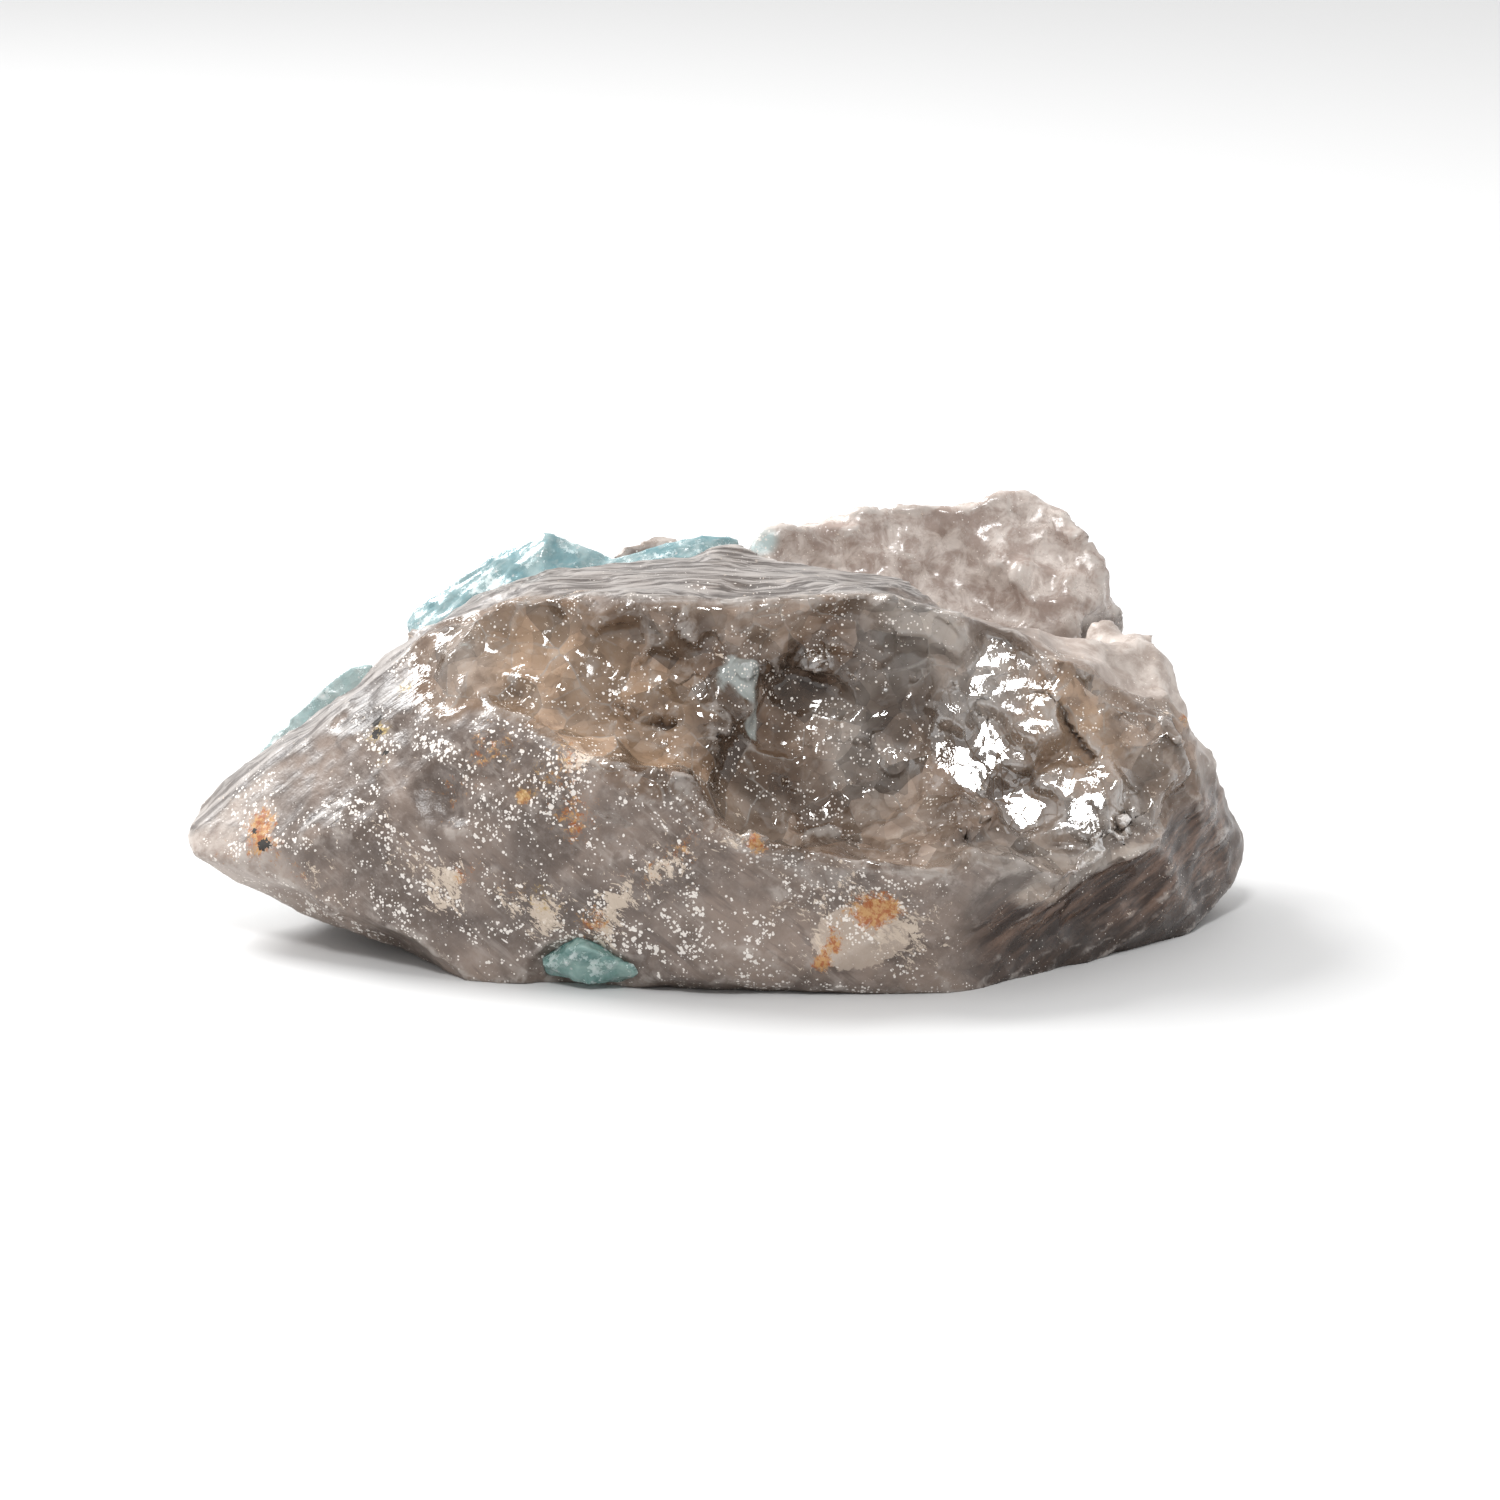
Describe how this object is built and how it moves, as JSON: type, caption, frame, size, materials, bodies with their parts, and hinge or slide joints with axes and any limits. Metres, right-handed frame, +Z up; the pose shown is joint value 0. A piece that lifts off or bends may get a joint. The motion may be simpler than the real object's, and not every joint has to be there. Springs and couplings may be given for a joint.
{
  "type": "mineral specimen",
  "caption": "Broken lump of smoky quartz with a glassy shell-shaped hollow in its front and pale blue beryl crystals showing along its back edge.",
  "frame": {"origin": "middle of the box round the stone, at the height of the flat that it rests on", "axes": "+X from the low blunt tip to the high right end, +Y from the hollow to the back, +Z up"},
  "size_m": [0.0798, 0.0444, 0.0301],
  "materials": {
    "quartz": "frosted faces and stained crust round a glassy fracture",
    "aquamarine": "satin"
  },
  "bodies": {
    "root": {"quartz": "quartz", "aquamarine_lower": "aquamarine", "aquamarine_upper": "aquamarine", "aquamarine_base": "aquamarine"}
  },
  "joints": []
}
